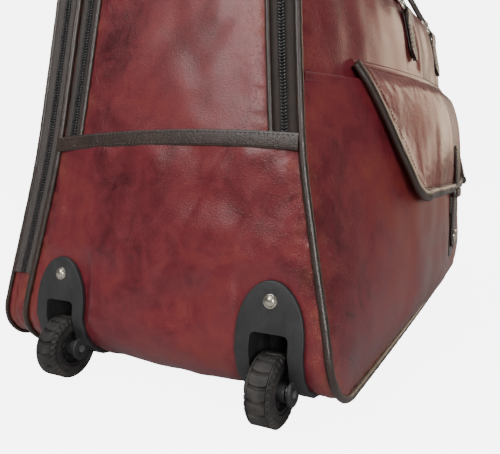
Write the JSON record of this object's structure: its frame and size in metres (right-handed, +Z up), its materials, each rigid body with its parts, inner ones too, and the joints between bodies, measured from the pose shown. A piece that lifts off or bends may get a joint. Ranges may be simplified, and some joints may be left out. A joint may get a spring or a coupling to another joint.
{
  "type": "rolling flight duffel",
  "caption": "Leathercloth pilot's rolling bag on two inline wheels with telescopic handle, flap pocket, slim rear compartment, zipped cover and carry handles.",
  "frame": {"origin": "centre of the bag's box, on the floor plane", "axes": "+X from the wheel end to the handle end, -Y the pocket side, +Z up"},
  "size_m": [0.5967, 0.349, 0.3926],
  "materials": {
    "burgundy_leather": "waxed leathercloth, mottled semi-gloss",
    "brown_leather": "dark brown trim, semi-gloss",
    "zip_tape": "woven tape",
    "zip_coil": "moulded coil",
    "nickel": "polished",
    "housing_plastic": "fine moulded texture",
    "black_plastic": "fine moulded texture",
    "tread_rubber": "worn tread",
    "axle_steel": "turned",
    "tube_alloy": "satin anodised",
    "board": "sheet",
    "lining_cloth": "woven twill"
  },
  "bodies": {
    "bag": {"base_board": "board", "bottom_panel": "burgundy_leather", "wheel_end_panel": "burgundy_leather", "wheel_end_gusset": "burgundy_leather", "wheel_end_band": "brown_leather", "handle_end_panel": "burgundy_leather", "handle_end_gusset": "burgundy_leather", "handle_end_band": "brown_leather", "top_panel": "burgundy_leather", "front_panel": "burgundy_leather", "back_panel": "burgundy_leather", "lining": "lining_cloth", "front_zip_tape": "zip_tape", "front_zip_coil": "zip_coil", "rear_zip_tape": "zip_tape", "rear_zip_coil": "zip_coil", "front_piping": "brown_leather", "rear_piping": "brown_leather", "slim_gusset": "burgundy_leather", "slim_zip_coil": "zip_coil", "front_pocket": "burgundy_leather", "strap_tab": "brown_leather", "snap_stud": "nickel", "front_wheel_housing": "housing_plastic", "rear_wheel_housing": "housing_plastic", "housing_rivets": "nickel", "wheel_axles": "axle_steel", "wheel_washers": "axle_steel", "skid_feet": "black_plastic", "foot_screws": "nickel", "fixed_tubes": "tube_alloy", "tube_saddles": "black_plastic", "handle_bezel": "black_plastic"},
    "front_wheel": {"front_wheel_tyre": "tread_rubber", "front_wheel_hub": "black_plastic"},
    "rear_wheel": {"rear_wheel_tyre": "tread_rubber", "rear_wheel_hub": "black_plastic"},
    "middle_stage": {"middle_tubes": "tube_alloy", "tube_collars": "black_plastic"},
    "inner_stage": {"inner_tubes": "tube_alloy", "grip": "black_plastic"},
    "release_button": {"release_button": "black_plastic"},
    "front_cover": {"front_cover": "burgundy_leather", "cover_piping": "brown_leather", "front_handle_tabs": "brown_leather"},
    "front_carry_handle": {"front_handle_rings": "nickel", "front_handle": "brown_leather"},
    "slim_cover": {"slim_cover": "burgundy_leather", "back_handle_tabs": "brown_leather"},
    "back_carry_handle": {"back_handle_rings": "nickel", "back_handle": "brown_leather"},
    "pocket_flap": {"pocket_flap": "burgundy_leather", "closure_strap": "brown_leather", "snap_cap": "nickel"},
    "front_zip_slider": {"front_zip_slider": "nickel"},
    "front_zip_pull": {"front_zip_pull": "nickel"},
    "rear_zip_slider": {"rear_zip_slider": "nickel"},
    "rear_zip_pull": {"rear_zip_pull": "nickel"},
    "slim_zip_slider": {"slim_zip_slider": "nickel"},
    "slim_zip_pull": {"slim_zip_pull": "nickel"}
  },
  "joints": [
    {"name": "front_wheel_spin", "type": "hinge", "parent": "bag", "child": "front_wheel", "pos_m": [-0.2733, -0.094, 0.025], "axis": [0, 1, 0], "continuous": true},
    {"name": "rear_wheel_spin", "type": "hinge", "parent": "bag", "child": "rear_wheel", "pos_m": [-0.2733, 0.094, 0.025], "axis": [0, 1, 0], "continuous": true},
    {"name": "middle_stage_slide", "type": "slide", "parent": "bag", "child": "middle_stage", "axis": [1, 0, 0], "range_m": [0, 0.2]},
    {"name": "inner_stage_slide", "type": "slide", "parent": "middle_stage", "child": "inner_stage", "axis": [1, 0, 0], "range_m": [0, 0.2]},
    {"name": "release_button_press", "type": "slide", "parent": "inner_stage", "child": "release_button", "axis": [-1, 0, 0], "range_m": [0, 0.003], "stiffness_N_per_m": 400, "springref_m": -0.003},
    {"name": "front_cover_fold", "type": "hinge", "parent": "bag", "child": "front_cover", "pos_m": [0, -0.1411, 0.25215], "axis": [1, 0, 0], "range_deg": [0, 95]},
    {"name": "slim_cover_fold", "type": "hinge", "parent": "bag", "child": "slim_cover", "pos_m": [0, 0.17403, 0.10015], "axis": [-1, 0, 0], "range_deg": [0, 80]},
    {"name": "pocket_flap_lift", "type": "hinge", "parent": "bag", "child": "pocket_flap", "pos_m": [0, -0.143, 0.246], "axis": [1, 0, 0], "range_deg": [-90, 0]},
    {"name": "front_carry_handle_swing", "type": "hinge", "parent": "front_cover", "child": "front_carry_handle", "pos_m": [0, -0.13092, 0.308], "axis": [-1, 0, 0], "range_deg": [-125, 0]},
    {"name": "back_carry_handle_swing", "type": "hinge", "parent": "slim_cover", "child": "back_carry_handle", "pos_m": [0, 0.15741, 0.308], "axis": [-1, 0, 0], "range_deg": [0, 170]},
    {"name": "front_zip_run", "type": "slide", "parent": "bag", "child": "front_zip_slider", "axis": [-0.1542, 0.1068, 0.9822], "range_m": [0, 0.074]},
    {"name": "front_zip_pull_swing", "type": "hinge", "parent": "front_zip_slider", "child": "front_zip_pull", "pos_m": [0.25761, -0.09344, 0.2129], "axis": [-0.0166, -0.9943, 0.1055], "range_deg": [0, 150]},
    {"name": "rear_zip_run", "type": "slide", "parent": "bag", "child": "rear_zip_slider", "axis": [-0.1542, -0.1068, 0.9822], "range_m": [0, 0.074]},
    {"name": "rear_zip_pull_swing", "type": "hinge", "parent": "rear_zip_slider", "child": "rear_zip_pull", "pos_m": [0.25761, 0.09344, 0.2129], "axis": [0.0166, -0.9943, -0.1055], "range_deg": [0, 150]},
    {"name": "slim_zip_run", "type": "slide", "parent": "bag", "child": "slim_zip_slider", "axis": [-0.1519, -0.2014, 0.9677], "range_m": [0, 0.0855]},
    {"name": "slim_zip_pull_swing", "type": "hinge", "parent": "slim_zip_slider", "child": "slim_zip_pull", "pos_m": [0.27445, 0.13762, 0.0929], "axis": [0.0312, -0.9795, -0.199], "range_deg": [0, 150]}
  ]
}
